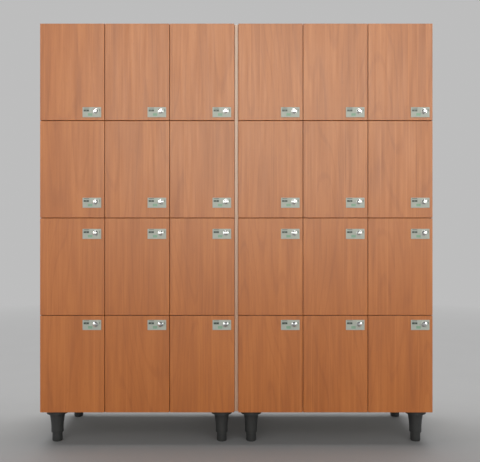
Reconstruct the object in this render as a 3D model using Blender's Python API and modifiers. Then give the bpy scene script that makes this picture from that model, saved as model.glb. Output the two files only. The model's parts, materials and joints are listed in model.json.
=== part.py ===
"""Coin operated locker: two banks of twelve compartments on adjustable legs.

Each bank is a board carcass with three columns and four rows of overlay doors, hinged on
their left edge. Each door carries a coin lock whose knob turns a cam into a slot in the board
beside it. Metres, +Z up, +Y to the back; the origin is on the floor, at the middle of the
outline, and the doors face -Y.
"""

import math

import bmesh
import bpy
from mathutils import Matrix, Vector

# Banks, boards and doors
BANKS = ("left", "right")
COLUMNS = 3
ROWS = 4  # row 1 is the top row
PITCH_X = 0.300
PITCH_Z = 0.450
BOARD = 0.018
BACK_PANEL = 0.006
CARCASS_DEPTH = 0.493
BANK_GAP = 0.016
STRIP_DEPTH = 0.040
TOUCH_GAP = 0.0003
DOOR_THICKNESS = 0.020
DOOR_GAP = 0.003
DOOR_STANDOFF = 0.002

# Coin lock on each door
PLATE_WIDTH = 0.086
PLATE_HEIGHT = 0.0465
PLATE_PROUD = 0.0025
PLATE_FROM_EDGE = 0.0144
PLATE_FROM_DOOR_END = {1: 0.0137, 2: 0.0457, 3: 0.0486, 4: 0.0192}
LOW_LOCK_ROWS = (1, 2)  # these locks sit near the door's bottom edge, the others near its top
CASE_WIDTH = 0.066
CASE_HEIGHT = 0.045
CASE_DEPTH = 0.024
CASE_FROM_EDGE = 0.026
COIN_SLOT_LENGTH = 0.024
COIN_SLOT_HEIGHT = 0.0024
COIN_SLOT_DEPTH = 0.034
COIN_SLOT_FROM_PLATE_LEFT = 0.018
COIN_SLOT_FROM_PLATE_TOP = 0.0042

# Knob, plug and cam, turning together
KNOB_FROM_EDGE = 0.0394
KNOB_FROM_PLATE_TOP = 0.0185
KNOB_RADIUS = 0.012
KNOB_TIP_RADIUS = 0.0045
KNOB_PROUD = 0.015
KNOB_RIM = 0.0062
KNOB_SIDES = 12
PLUG_RADIUS = 0.0080
PLUG_BORE_RADIUS = 0.0085
PLUG_END = 0.051
CAM_WIDTH = 0.012
CAM_THICKNESS = 0.004
CAM_START = 0.0455
CAM_HEEL = 0.009
CAM_ENGAGEMENT = 0.008
SLOT_DEPTH = 0.011
SLOT_SIDE_ROOM = 0.002
SLOT_BEYOND_CAM = 0.008
SLOT_ALONG_SWING = 0.028

# Legs
LEG_HEIGHT = 0.150
LEG_INSET_X = 0.0615
LEG_INSET_Y = 0.050
LEG_SIDES = 16
FOOT_RADIUS = 0.0235
SLEEVE_RADIUS = 0.0283
SLEEVE_BOTTOM = 0.041
EDGE_ROUNDING = 0.003
FLARE_BOTTOM = 0.066
FLARE_TOP = 0.128
FLARE_RADIUS = 0.0355
FLARE_STEPS = 3
FLANGE_RADIUS = 0.049
FLANGE_EDGE_BOTTOM = 0.1305

# Places worked out from the dimensions above
BANK_WIDTH = COLUMNS * PITCH_X
BANK_HEIGHT = ROWS * PITCH_Z
TOTAL_DEPTH = KNOB_PROUD + DOOR_THICKNESS + DOOR_STANDOFF + CARCASS_DEPTH
DOOR_FRONT_Y = -TOTAL_DEPTH / 2 + KNOB_PROUD
CARCASS_FRONT_Y = DOOR_FRONT_Y + DOOR_THICKNESS + DOOR_STANDOFF
CARCASS_BACK_Y = TOTAL_DEPTH / 2
DOOR_WIDTH = PITCH_X - DOOR_GAP
DOOR_HEIGHT = PITCH_Z - DOOR_GAP
BANK_START_X = {"left": -BANK_GAP / 2 - BANK_WIDTH, "right": BANK_GAP / 2}
KNOB_X = DOOR_WIDTH - KNOB_FROM_EDGE

MATERIALS = {
    "door_laminate": ((0.47, 0.20, 0.10), 0.45, 0.0),
    "carcass_board": ((0.60, 0.56, 0.50), 0.55, 0.0),
    "filler_laminate": ((0.62, 0.58, 0.52), 0.50, 0.0),
    "lock_chrome": ((0.80, 0.80, 0.78), 0.12, 1.0),
    "leg_plastic": ((0.03, 0.03, 0.032), 0.50, 0.0),
}


def material(name):
    """The named finish as a Principled BSDF."""
    color, roughness, metallic = MATERIALS[name]
    made = bpy.data.materials.get(name) or bpy.data.materials.new(name)
    made.use_nodes = True
    shader = made.node_tree.nodes["Principled BSDF"]
    shader.inputs["Base Color"].default_value = (*color, 1.0)
    shader.inputs["Roughness"].default_value = roughness
    shader.inputs["Metallic"].default_value = metallic
    return made


def collection(name, parent):
    """A new collection under parent."""
    made = bpy.data.collections.new(name)
    parent.children.link(made)
    return made


def add_object(name, mesh, holder, location=(0, 0, 0)):
    """A mesh object at a place, in a collection."""
    made = bpy.data.objects.new(name, mesh)
    made.location = location
    holder.objects.link(made)
    return made


def box(name, low, high):
    """A box mesh between two corners."""
    bm = bmesh.new()
    bmesh.ops.create_cube(bm, size=1.0)
    bmesh.ops.scale(bm, vec=Vector(high) - Vector(low), verts=bm.verts)
    bmesh.ops.translate(bm, vec=(Vector(high) + Vector(low)) / 2, verts=bm.verts)
    mesh = bpy.data.meshes.new(name)
    bm.to_mesh(mesh)
    bm.free()
    return mesh


def rod_along_y(name, radius, start, end, x, z, sides):
    """A cylinder mesh along Y, centred on x and z."""
    bm = bmesh.new()
    bmesh.ops.create_cone(
        bm, cap_ends=True, segments=sides, radius1=radius, radius2=radius, depth=end - start
    )
    bmesh.ops.rotate(bm, verts=bm.verts, matrix=Matrix.Rotation(math.radians(90), 3, "X"))
    bmesh.ops.translate(bm, vec=(x, (start + end) / 2, z), verts=bm.verts)
    mesh = bpy.data.meshes.new(name)
    bm.to_mesh(mesh)
    bm.free()
    return mesh


def turned_object(name, profile, sides, holder):
    """A turned solid about Z: profile holds (radius, z) points from the top to the bottom."""
    bm = bmesh.new()
    points = [bm.verts.new((radius, 0, z)) for radius, z in profile]
    for upper, lower in zip(points, points[1:]):
        bm.edges.new((upper, lower))
    mesh = bpy.data.meshes.new(name)
    bm.to_mesh(mesh)
    bm.free()
    made = add_object(name, mesh, holder)
    screw = made.modifiers.new("turn", "SCREW")
    screw.steps = screw.render_steps = sides
    screw.use_merge_vertices = True
    screw.merge_threshold = 0.00001
    return made


def finished_mesh(made):
    """The object's mesh with its modifiers applied; the object itself is removed."""
    depsgraph = bpy.context.evaluated_depsgraph_get()
    mesh = bpy.data.meshes.new_from_object(made.evaluated_get(depsgraph), depsgraph=depsgraph)
    bpy.data.objects.remove(made)
    return mesh


def combine(name, base, steps, cutters):
    """The base mesh with each (operation, mesh) of steps joined to it or cut from it."""
    made = add_object(name, base, cutters)
    tools = []
    for operation, mesh in steps:
        tool = add_object(mesh.name, mesh, cutters)
        boolean = made.modifiers.new(operation, "BOOLEAN")
        boolean.operation = operation
        boolean.object = tool
        tools.append(tool)
    mesh = finished_mesh(made)
    mesh.name = name
    for tool in tools:
        bpy.data.objects.remove(tool)
    return mesh


def dress(made, finish):
    """Gives an object one finish and smooth shading with sharp edges kept."""
    made.data.materials.clear()
    made.data.materials.append(material(finish))
    made.data.shade_smooth()
    made.data.set_sharp_from_angle(angle=math.radians(30))


def compartment(column, row):
    """(left, right, bottom, top) of a compartment's inside, from its bank's lower left corner."""
    left = column * PITCH_X + (BOARD if column == 0 else BOARD / 2)
    right = (column + 1) * PITCH_X - (BOARD if column == COLUMNS - 1 else BOARD / 2)
    level = ROWS - row
    bottom = level * PITCH_Z + (BOARD if row == ROWS else BOARD / 2)
    top = (level + 1) * PITCH_Z - (BOARD if row == 1 else BOARD / 2)
    return left, right, bottom, top


def plate_bottom(row):
    """Height of a row's lock plate above the door's bottom edge."""
    inset = PLATE_FROM_DOOR_END[row]
    return inset if row in LOW_LOCK_ROWS else DOOR_HEIGHT - inset - PLATE_HEIGHT


def knob_height(row):
    """Height of a row's knob axis above the door's bottom edge."""
    return plate_bottom(row) + PLATE_HEIGHT - KNOB_FROM_PLATE_TOP


def cam_direction(row):
    """1 where the unlocked cam points up and -1 where it points down, away from the shelf."""
    return 1 if row in LOW_LOCK_ROWS else -1


def cam_reach(column):
    """Distance from the knob axis to the face of the board that the cam locks into."""
    _, right, _, _ = compartment(column, 1)
    return right - (column * PITCH_X + DOOR_GAP / 2 + KNOB_X)


def door_origin(bank, column, row):
    """The lower end of a door's hinge axis: the door's front left corner."""
    x = BANK_START_X[bank] + column * PITCH_X + DOOR_GAP / 2
    z = LEG_HEIGHT + (ROWS - row) * PITCH_Z + DOOR_GAP / 2
    return Vector((x, DOOR_FRONT_Y, z))


def carcass(bank, holder, cutters):
    """A bank's boards as one solid: a block with its compartments and cam slots cut out."""
    start = Vector((BANK_START_X[bank], 0, LEG_HEIGHT))
    low = start + Vector((0, CARCASS_FRONT_Y, 0))
    high = start + Vector((BANK_WIDTH, CARCASS_BACK_Y, BANK_HEIGHT))
    made = add_object(f"carcass_{bank}", box("carcass", low, high), holder)
    for kind, mesh_of in (("compartments", compartment_cutter), ("cam_slots", slot_cutter)):
        tools = collection(f"{bank}_{kind}", cutters)
        for column in range(COLUMNS):
            for row in range(1, ROWS + 1):
                tool = add_object(f"{bank}_{kind}_{column}_{row}", mesh_of(column, row), tools, start)
                tool.hide_render = True
                tool.display_type = "WIRE"
        boolean = made.modifiers.new(kind, "BOOLEAN")
        boolean.operation = "DIFFERENCE"
        boolean.operand_type = "COLLECTION"
        boolean.collection = tools
    dress(made, "carcass_board")


def compartment_cutter(column, row):
    """The inside of a compartment, open at the front."""
    left, right, bottom, top = compartment(column, row)
    low = (left, CARCASS_FRONT_Y - BOARD, bottom)
    high = (right, CARCASS_BACK_Y - BACK_PANEL, top)
    return box("compartment", low, high)


def slot_cutter(column, row):
    """The blind slot beside a lock that its cam turns into."""
    _, face, _, _ = compartment(column, row)
    axis_z = (ROWS - row) * PITCH_Z + DOOR_GAP / 2 + knob_height(row)
    ends = sorted((-SLOT_BEYOND_CAM * cam_direction(row), SLOT_ALONG_SWING * cam_direction(row)))
    front = DOOR_FRONT_Y + CAM_START - SLOT_SIDE_ROOM
    back = DOOR_FRONT_Y + CAM_START + CAM_THICKNESS + SLOT_SIDE_ROOM
    low = (face - SLOT_DEPTH, front, axis_z + ends[0])
    high = (face + SLOT_DEPTH, back, axis_z + ends[1])
    return box("cam_slot", low, high)


def door_mesh(row, cutters):
    """A door leaf with its lock's plate and case, bored for the plug and cut for the coin."""
    leaf = box("leaf", (0, 0, 0), (DOOR_WIDTH, DOOR_THICKNESS, DOOR_HEIGHT))
    right = DOOR_WIDTH - PLATE_FROM_EDGE
    bottom = plate_bottom(row)
    inside = DOOR_THICKNESS / 2
    plate = box(
        "plate", (right - PLATE_WIDTH, -PLATE_PROUD, bottom), (right, inside, bottom + PLATE_HEIGHT)
    )
    case_right = DOOR_WIDTH - CASE_FROM_EDGE
    case_middle = bottom + PLATE_HEIGHT / 2
    case = box(
        "case",
        (case_right - CASE_WIDTH, inside, case_middle - CASE_HEIGHT / 2),
        (case_right, DOOR_THICKNESS + CASE_DEPTH, case_middle + CASE_HEIGHT / 2),
    )
    bore = rod_along_y(
        "bore", PLUG_BORE_RADIUS, -KNOB_PROUD, 2 * PLUG_END, KNOB_X, knob_height(row), KNOB_SIDES
    )
    slot_x = right - PLATE_WIDTH + COIN_SLOT_FROM_PLATE_LEFT
    slot_z = bottom + PLATE_HEIGHT - COIN_SLOT_FROM_PLATE_TOP
    coin_slot = box(
        "coin_slot",
        (slot_x - COIN_SLOT_LENGTH / 2, -KNOB_PROUD, slot_z - COIN_SLOT_HEIGHT / 2),
        (slot_x + COIN_SLOT_LENGTH / 2, COIN_SLOT_DEPTH, slot_z + COIN_SLOT_HEIGHT / 2),
    )
    steps = (("UNION", plate), ("UNION", case), ("DIFFERENCE", bore), ("DIFFERENCE", coin_slot))
    return combine(f"door_row_{row}", leaf, steps, cutters)


def knob_profile():
    """(radius, height) points of the knob and its plug, from the knob's tip to the plug's end."""
    base = PLATE_PROUD + TOUCH_GAP
    return [
        (0, KNOB_PROUD),
        (KNOB_TIP_RADIUS, KNOB_PROUD),
        (KNOB_RADIUS, base + KNOB_RIM),
        (KNOB_RADIUS, base),
        (PLUG_RADIUS, base),
        (PLUG_RADIUS, -PLUG_END),
        (0, -PLUG_END),
    ]


def key_mesh(column, cutters):
    """A knob, its plug through the door and the cam behind the lock case, pointing up."""
    knob = finished_mesh(turned_object("knob", knob_profile(), KNOB_SIDES, cutters))
    knob.transform(Matrix.Rotation(math.radians(90), 4, "X"))
    length = cam_reach(column) + CAM_ENGAGEMENT
    cam = box(
        "cam",
        (-CAM_WIDTH / 2, CAM_START, -CAM_HEEL),
        (CAM_WIDTH / 2, CAM_START + CAM_THICKNESS, length),
    )
    return combine(f"key_column_{column}", knob, [("UNION", cam)], cutters)


def doors_and_keys(bank, door_meshes, key_meshes, holder):
    """A bank's doors on their hinge axes, each with its key as a child on the knob's axis."""
    for column in range(COLUMNS):
        for row in range(1, ROWS + 1):
            number = (BANKS.index(bank) * COLUMNS + column) * ROWS + row
            place = door_origin(bank, column, row)
            door = add_object(f"door_{number:02d}", door_meshes[row], holder, place)
            key = add_object(
                f"key_{number:02d}", key_meshes[column], holder, (KNOB_X, 0, knob_height(row))
            )
            key.parent = door
            if cam_direction(row) < 0:
                key.rotation_euler.y = math.pi
            dress(door, "door_laminate")
            dress(key, "lock_chrome")


def leg_profile():
    """(radius, height) points of a leg: flange, flared sleeve, and the foot that screws into it."""
    top = LEG_HEIGHT - TOUCH_GAP
    flare = []
    for step in range(FLARE_STEPS + 1):
        share = 1 - step / FLARE_STEPS
        height = FLARE_BOTTOM + share * (FLARE_TOP - FLARE_BOTTOM)
        flare.append((SLEEVE_RADIUS + (FLARE_RADIUS - SLEEVE_RADIUS) * share**1.5, height))
    return [
        (0, top),
        (FLANGE_RADIUS, top),
        (FLANGE_RADIUS, FLANGE_EDGE_BOTTOM),
        *flare,
        (SLEEVE_RADIUS, SLEEVE_BOTTOM + EDGE_ROUNDING),
        (SLEEVE_RADIUS - EDGE_ROUNDING, SLEEVE_BOTTOM),
        (FOOT_RADIUS, SLEEVE_BOTTOM),
        (FOOT_RADIUS, EDGE_ROUNDING),
        (FOOT_RADIUS - EDGE_ROUNDING, 0),
        (0, 0),
    ]


def legs(bank, holder):
    """The four legs under a bank; outer is the side away from the other bank."""
    start = BANK_START_X[bank]
    sides = {"outer": start + LEG_INSET_X, "inner": start + BANK_WIDTH - LEG_INSET_X}
    if bank == "right":
        sides = {"inner": start + LEG_INSET_X, "outer": start + BANK_WIDTH - LEG_INSET_X}
    depths = {"front": CARCASS_FRONT_Y + LEG_INSET_Y, "rear": CARCASS_BACK_Y - LEG_INSET_Y}
    for depth, y in depths.items():
        for side, x in sides.items():
            leg = turned_object(f"leg_{bank}_{depth}_{side}", leg_profile(), LEG_SIDES, holder)
            leg.location = (x, y, 0)
            dress(leg, "leg_plastic")


def filler_strips(holder):
    """The strips that fill and space the joint between the banks, at the front and the back."""
    half = BANK_GAP / 2 - TOUCH_GAP
    starts = {"front": CARCASS_FRONT_Y, "rear": CARCASS_BACK_Y - STRIP_DEPTH}
    for place, y in starts.items():
        low = (-half, y, LEG_HEIGHT)
        high = (half, y + STRIP_DEPTH, LEG_HEIGHT + BANK_HEIGHT)
        strip = add_object(f"{place}_filler_strip", box("strip", low, high), holder)
        dress(strip, "filler_laminate")


def main():
    """Clears the scene and builds the locker."""
    for old in list(bpy.data.objects):
        bpy.data.objects.remove(old)
    holder = collection("coin_operated_locker", bpy.context.scene.collection)
    cutters = collection("cutters", bpy.context.scene.collection)
    door_meshes = {row: door_mesh(row, cutters) for row in range(1, ROWS + 1)}
    key_meshes = [key_mesh(column, cutters) for column in range(COLUMNS)]
    for bank in BANKS:
        carcass(bank, holder, cutters)
        doors_and_keys(bank, door_meshes, key_meshes, holder)
        legs(bank, holder)
    filler_strips(holder)


main()
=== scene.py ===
"""The finished look of a coin operated locker.

Two banks of board lockers stand side by side on black adjustable legs. Every compartment has
an overlay door of wood laminate, hung on concealed hinges, with a coin lock whose knob turns a
cam into the board beside it. Each sub-assembly is a class that builds its own pieces around
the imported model; lengths are in metres, +Z is up and the doors face -Y.
"""

import json
import logging
import math
from dataclasses import dataclass, field
from enum import Enum
from typing import Any, Iterable, Mapping, Sequence

import bmesh
import bpy
from mathutils import Matrix, Vector


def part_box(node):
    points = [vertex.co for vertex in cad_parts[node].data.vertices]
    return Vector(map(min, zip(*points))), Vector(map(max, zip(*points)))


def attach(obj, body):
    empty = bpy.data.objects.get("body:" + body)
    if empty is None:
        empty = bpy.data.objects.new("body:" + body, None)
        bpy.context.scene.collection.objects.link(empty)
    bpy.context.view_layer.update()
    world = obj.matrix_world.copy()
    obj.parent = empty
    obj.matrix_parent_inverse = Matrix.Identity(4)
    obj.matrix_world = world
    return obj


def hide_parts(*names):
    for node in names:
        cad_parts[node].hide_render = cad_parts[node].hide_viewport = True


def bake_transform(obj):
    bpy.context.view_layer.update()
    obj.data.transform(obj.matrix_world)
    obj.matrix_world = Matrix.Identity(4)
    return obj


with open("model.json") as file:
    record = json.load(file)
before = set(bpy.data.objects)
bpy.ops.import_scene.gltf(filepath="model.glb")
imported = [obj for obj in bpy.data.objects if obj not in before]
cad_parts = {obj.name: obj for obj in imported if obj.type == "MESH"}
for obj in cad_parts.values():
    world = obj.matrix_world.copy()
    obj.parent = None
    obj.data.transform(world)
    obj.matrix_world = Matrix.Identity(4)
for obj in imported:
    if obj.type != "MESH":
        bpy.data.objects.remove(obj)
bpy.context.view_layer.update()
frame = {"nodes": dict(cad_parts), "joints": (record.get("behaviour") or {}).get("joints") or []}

LOG = logging.getLogger("locker")
MM = 0.001
SEAT = 0.1 * MM
SMOOTH_ANGLE = math.radians(21)
SEED_ATTRIBUTE = "sheet_seed"

Point = Sequence[float]


# ---------------------------------------------------------------------------
# Shader graphs
# ---------------------------------------------------------------------------


class Signal:
    """One output of a finish's node graph; arithmetic on it adds Math nodes.

    Args:
        graph: The graph that new nodes go into.
        out: The node socket that carries the value.
    """

    def __init__(self, graph: "Graph", out: bpy.types.NodeSocket) -> None:
        self.graph = graph
        self.out = out

    def _math(self, operation: str, first: "Signal | float", second: "Signal | float") -> "Signal":
        """One Math node on two values."""
        settings = {"operation": operation}
        return self.graph.node("ShaderNodeMath", settings, {0: first, 1: second})

    def __add__(self, other: "Signal | float") -> "Signal":
        """self + other"""
        return self._math("ADD", self, other)

    def __radd__(self, other: float) -> "Signal":
        """other + self"""
        return self._math("ADD", other, self)

    def __sub__(self, other: "Signal | float") -> "Signal":
        """self - other"""
        return self._math("SUBTRACT", self, other)

    def __rsub__(self, other: float) -> "Signal":
        """other - self"""
        return self._math("SUBTRACT", other, self)

    def __mul__(self, other: "Signal | float") -> "Signal":
        """self * other"""
        return self._math("MULTIPLY", self, other)

    def __rmul__(self, other: float) -> "Signal":
        """other * self"""
        return self._math("MULTIPLY", other, self)

    def __pow__(self, other: "Signal | float") -> "Signal":
        """self ** other"""
        return self._math("POWER", self, other)


class Graph:
    """The material and node graph of one finish.

    Args:
        name: The material's name.
        constants: Values set directly on the shader's sockets.
    """

    def __init__(self, name: str, constants: Mapping[str, Any]) -> None:
        self.material = bpy.data.materials.new(name)
        self.material.use_nodes = True
        self.tree = self.material.node_tree
        self.shader = self.tree.nodes["Principled BSDF"]
        for socket, value in constants.items():
            self.shader.inputs[socket].default_value = value

    def node(
        self,
        kind: str,
        settings: Mapping[str, Any] | None = None,
        inputs: Mapping[str | int, Any] | None = None,
        output: str | int = 0,
    ) -> Signal:
        """Adds a node, sets it up and feeds its sockets.

        Args:
            kind: The node's type.
            settings: Its properties; "stops" holds a ramp's (position, colour) pairs.
            inputs: Its sockets' values or links.
            output: The output that is wanted.

        Returns:
            That output.
        """
        made = self.tree.nodes.new(kind)
        for name, value in (settings or {}).items():
            if name == "stops":
                self.set_stops(made.color_ramp, value)
            else:
                setattr(made, name, value)
        for name, value in (inputs or {}).items():
            if isinstance(value, Signal):
                self.tree.links.new(value.out, made.inputs[name])
            else:
                made.inputs[name].default_value = value
        return Signal(self, made.outputs[output])

    @staticmethod
    def set_stops(ramp: bpy.types.ColorRamp, stops: Sequence[tuple[float, Point]]) -> None:
        """Gives a ramp its stops."""
        while len(ramp.elements) < len(stops):
            ramp.elements.new(1.0)
        for element, (position, color) in zip(ramp.elements, stops):
            element.position = position
            element.color = (*color, 1.0)

    def place(self) -> Signal:
        """The surface point in the row frame."""
        return self.node("ShaderNodeTexCoord", output="Object")

    def seed(self) -> Signal:
        """The number of the sheet that a piece was cut from."""
        return self.node("ShaderNodeAttribute", {"attribute_name": SEED_ATTRIBUTE}, output="Fac")

    def noise(
        self, vector: Signal, scale: Point, detail: float = 2.0, seed: Signal | float = 0.0
    ) -> Signal:
        """Noise stretched by a scale for each axis.

        Args:
            vector: Where the noise is read.
            scale: Features per metre along X, Y and Z.
            detail: Octaves.
            seed: A fourth coordinate, which tells sheets apart.

        Returns:
            The noise, about 0.5.
        """
        stretched = self.node("ShaderNodeMapping", None, {"Vector": vector, "Scale": scale})
        inputs = {"Vector": stretched, "W": seed, "Scale": 1.0, "Detail": detail}
        return self.node("ShaderNodeTexNoise", {"noise_dimensions": "4D"}, inputs)

    def ramp(self, value: Signal, stops: Sequence[tuple[float, Point]]) -> Signal:
        """A colour for each value."""
        return self.node("ShaderNodeValToRGB", {"stops": stops}, {0: value})

    def fit(self, value: Signal, low: float, high: float, to_low: float, to_high: float) -> Signal:
        """The value moved, and held, from one range to another."""
        inputs = {0: value, 1: low, 2: high, 3: to_low, 4: to_high}
        return self.node("ShaderNodeMapRange", None, inputs)

    def mix(self, factor: Signal | float, first: Any, second: Any, blend: str = "MIX") -> Signal:
        """Two colours mixed."""
        settings = {"data_type": "RGBA", "blend_type": blend}
        return self.node("ShaderNodeMix", settings, {0: factor, 6: first, 7: second}, 2)

    def bump(self, height: Signal, depth: float, strength: float = 1.0) -> None:
        """Raises the surface by depth metres where height is 1."""
        inputs = {"Height": height, "Distance": depth, "Strength": strength}
        self.drive("Normal", self.node("ShaderNodeBump", None, inputs))

    def drive(self, socket: str, value: Signal) -> None:
        """Feeds one of the shader's sockets."""
        self.tree.links.new(value.out, self.shader.inputs[socket])

    def tint(self, tone: Signal, low: float, high: float, shade: Point, base: Point) -> None:
        """Colours the surface from shade to base while a tone goes from low to high."""
        self.drive("Base Color", self.ramp(tone, [(low, shade), (high, base)]))

    def polish(self, tone: Signal, low: float, high: float, start: float, end: float) -> None:
        """Takes the roughness from start to end while a tone goes from low to high."""
        self.drive("Roughness", self.fit(tone, low, high, start, end))


# ---------------------------------------------------------------------------
# Finishes
# ---------------------------------------------------------------------------


@dataclass(frozen=True)
class Finish:
    """What every finish has.

    Attributes:
        name: The material's name.
        roughness: How rough it is, from 0 to 1.
    """

    name: str
    roughness: float

    def build(self) -> bpy.types.Material:
        """The finish as a material."""
        raise NotImplementedError


@dataclass(frozen=True)
class WoodLaminate(Finish):
    """Satin laminate printed with an upright, fine, reddish-brown grain."""

    dark: Point = (0.295, 0.080, 0.013)
    middle: Point = (0.355, 0.101, 0.017)
    light: Point = (0.410, 0.126, 0.025)
    pale: Point = (0.460, 0.150, 0.034)
    pore: Point = (0.200, 0.045, 0.010)
    rings: float = 120.0

    def build(self) -> bpy.types.Material:
        """The finish as a material."""
        graph = Graph(self.name, {"Roughness": self.roughness, "Specular IOR Level": 0.62})
        place, seed = graph.place(), graph.seed()
        fibres = graph.noise(place, (620, 620, 9.0), 2.0, seed)
        streaks = graph.noise(place, (80, 80, 3.2), 2.0, seed)
        bands = graph.noise(place, (18, 18, 2.0), 2.0, seed)
        growth = graph.noise(place, (5.0, 5.0, 0.55), 1.0, seed) + streaks * 0.012
        rings = graph.node("ShaderNodeMath", {"operation": "SINE"}, {0: growth * self.rings})
        late_wood = graph.fit(rings, 0.70, 1.0, 0.0, 1.0)
        tone = bands * 0.48 + streaks * 0.34 + fibres * 0.18 - late_wood * 0.075
        stops = [(0.34, self.dark), (0.48, self.middle), (0.62, self.light)]
        color = graph.ramp(tone, stops)
        lines = graph.noise(place, (210, 210, 0.9), 0.0, seed + 40.0)
        pale = graph.fit(lines, 0.64, 0.76, 0.0, 0.45)
        color = graph.mix(pale, color, (*self.pale, 1.0))
        pores = graph.noise(place, (900, 900, 26.0), 1.0, seed)
        open_pores = graph.fit(pores, 0.64, 0.72, 0.0, 0.45)
        color = graph.mix(open_pores, color, (*self.pore, 1.0))
        graph.drive("Base Color", color)
        rough, smooth = self.roughness + 0.05, self.roughness - 0.04
        graph.polish(streaks, 0.3, 0.7, rough, smooth)
        graph.bump(fibres - open_pores, 0.05 * MM, 0.5)
        return graph.material


@dataclass(frozen=True)
class Melamine(Finish):
    """Pale melamine-faced board with a faint mottle."""

    base: Point = (0.54, 0.505, 0.45)
    shade: Point = (0.50, 0.465, 0.41)
    gloss: float = 0.5

    def build(self) -> bpy.types.Material:
        """The finish as a material."""
        graph = Graph(self.name, {"Roughness": self.roughness, "Specular IOR Level": self.gloss})
        place = graph.place()
        clouds = graph.noise(place, (5, 5, 5), 2.0)
        fleck = graph.noise(place, (160, 160, 60), 3.0)
        grit = graph.noise(place, (900, 900, 900), 2.0)
        tone = clouds * 0.25 + fleck * 0.4 + grit * 0.35
        graph.tint(tone, 0.38, 0.62, self.shade, self.base)
        graph.polish(grit, 0.3, 0.7, self.roughness - 0.05, self.roughness + 0.06)
        graph.bump(grit, 0.03 * MM, 0.4)
        return graph.material


@dataclass(frozen=True)
class BrushedMetal(Finish):
    """Metal with fine brush lines along X."""

    base: Point = (0.60, 0.62, 0.56)
    shade: Point = (0.50, 0.53, 0.47)
    metallic: float = 1.0
    lines: float = 0.02

    def build(self) -> bpy.types.Material:
        """The finish as a material."""
        graph = Graph(self.name, {"Roughness": self.roughness, "Metallic": self.metallic})
        place = graph.place()
        brush = graph.noise(place, (60, 900, 4000), 2.0)
        smudge = graph.noise(place, (55, 55, 55), 3.0)
        tone = brush * 0.5 + smudge * 0.5
        graph.tint(tone, 0.35, 0.65, self.shade, self.base)
        graph.polish(tone, 0.3, 0.7, self.roughness - 0.05, self.roughness + 0.07)
        graph.bump(brush, self.lines * MM, 0.5)
        return graph.material


@dataclass(frozen=True)
class Chrome(Finish):
    """Polished chrome plate with faint handling haze."""

    base: Point = (0.86, 0.87, 0.86)
    shade: Point = (0.78, 0.79, 0.78)

    def build(self) -> bpy.types.Material:
        """The finish as a material."""
        graph = Graph(self.name, {"Roughness": self.roughness, "Metallic": 1.0})
        haze = graph.noise(graph.place(), (240, 240, 240), 3.0)
        graph.tint(haze, 0.35, 0.65, self.shade, self.base)
        graph.polish(haze, 0.35, 0.75, self.roughness, self.roughness + 0.10)
        return graph.material


@dataclass(frozen=True)
class Moulded(Finish):
    """Moulded plastic or enamel with a fine spark-eroded texture.

    Attributes:
        base: Its colour.
        grain: Depth of the texture in metres.
        dust: How much the colour lightens in patches, from 0 to 1.
    """

    base: Point = (0.03, 0.03, 0.03)
    grain: float = 0.00004
    dust: float = 0.25

    def build(self) -> bpy.types.Material:
        """The finish as a material."""
        graph = Graph(self.name, {"Roughness": self.roughness})
        place = graph.place()
        texture = graph.noise(place, (1400, 1400, 1400), 2.0)
        scuffs = graph.noise(place, (38, 38, 38), 5.0)
        worn = tuple(min(1.0, part * (1.0 + 2.0 * self.dust) + 0.01) for part in self.base)
        color = graph.mix(graph.fit(scuffs, 0.45, 0.75, 0.0, self.dust), (*self.base, 1), (*worn, 1))
        graph.drive("Base Color", color)
        graph.polish(scuffs, 0.3, 0.7, self.roughness + 0.07, self.roughness - 0.05)
        graph.bump(texture, self.grain, 0.6)
        return graph.material


@dataclass(frozen=True)
class Paper(Finish):
    """Matt studio paper that turns, away from the middle, into an evenly lit backdrop.

    Attributes:
        base: Its colour.
        glow: Brightness of the backdrop.
        start: Distance from the middle where the backdrop starts.
        end: Distance where there is only backdrop.
    """

    base: Point = (0.5, 0.5, 0.5)
    glow: float = 0.5
    start: float = 1.0
    end: float = 6.0

    def build(self) -> bpy.types.Material:
        """The finish as a material."""
        graph = Graph(self.name, {"Roughness": self.roughness, "Specular IOR Level": 0.2})
        place = graph.place()
        mottle = graph.noise(place, (3, 3, 3), 3.0)
        graph.tint(mottle, 0.3, 0.7, tuple(part * 0.97 for part in self.base), self.base)
        distance = graph.node("ShaderNodeVectorMath", {"operation": "LENGTH"}, {0: place}, "Value")
        share = graph.fit(distance, self.start, self.end, 0.0, 1.0)
        backdrop = graph.node("ShaderNodeEmission", None, {"Strength": self.glow})
        inputs = {0: share, 1: Signal(graph, graph.shader.outputs[0]), 2: backdrop}
        blend = graph.node("ShaderNodeMixShader", None, inputs)
        output = graph.tree.nodes["Material Output"]
        graph.tree.links.new(blend.out, output.inputs["Surface"])
        return graph.material


EDGE_WOOD = ((0.33, 0.085, 0.018), (0.39, 0.108, 0.024), (0.44, 0.13, 0.03))
EDGE_MELAMINE = ((0.55, 0.51, 0.45), (0.49, 0.45, 0.40))
STRIP_TONES = ((0.53, 0.325, 0.23), (0.49, 0.295, 0.205))
PLATE_TONES = ((0.33, 0.340, 0.313), (0.30, 0.312, 0.285))
ZINC_TONES = ((0.52, 0.52, 0.51), (0.42, 0.42, 0.41))


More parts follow.
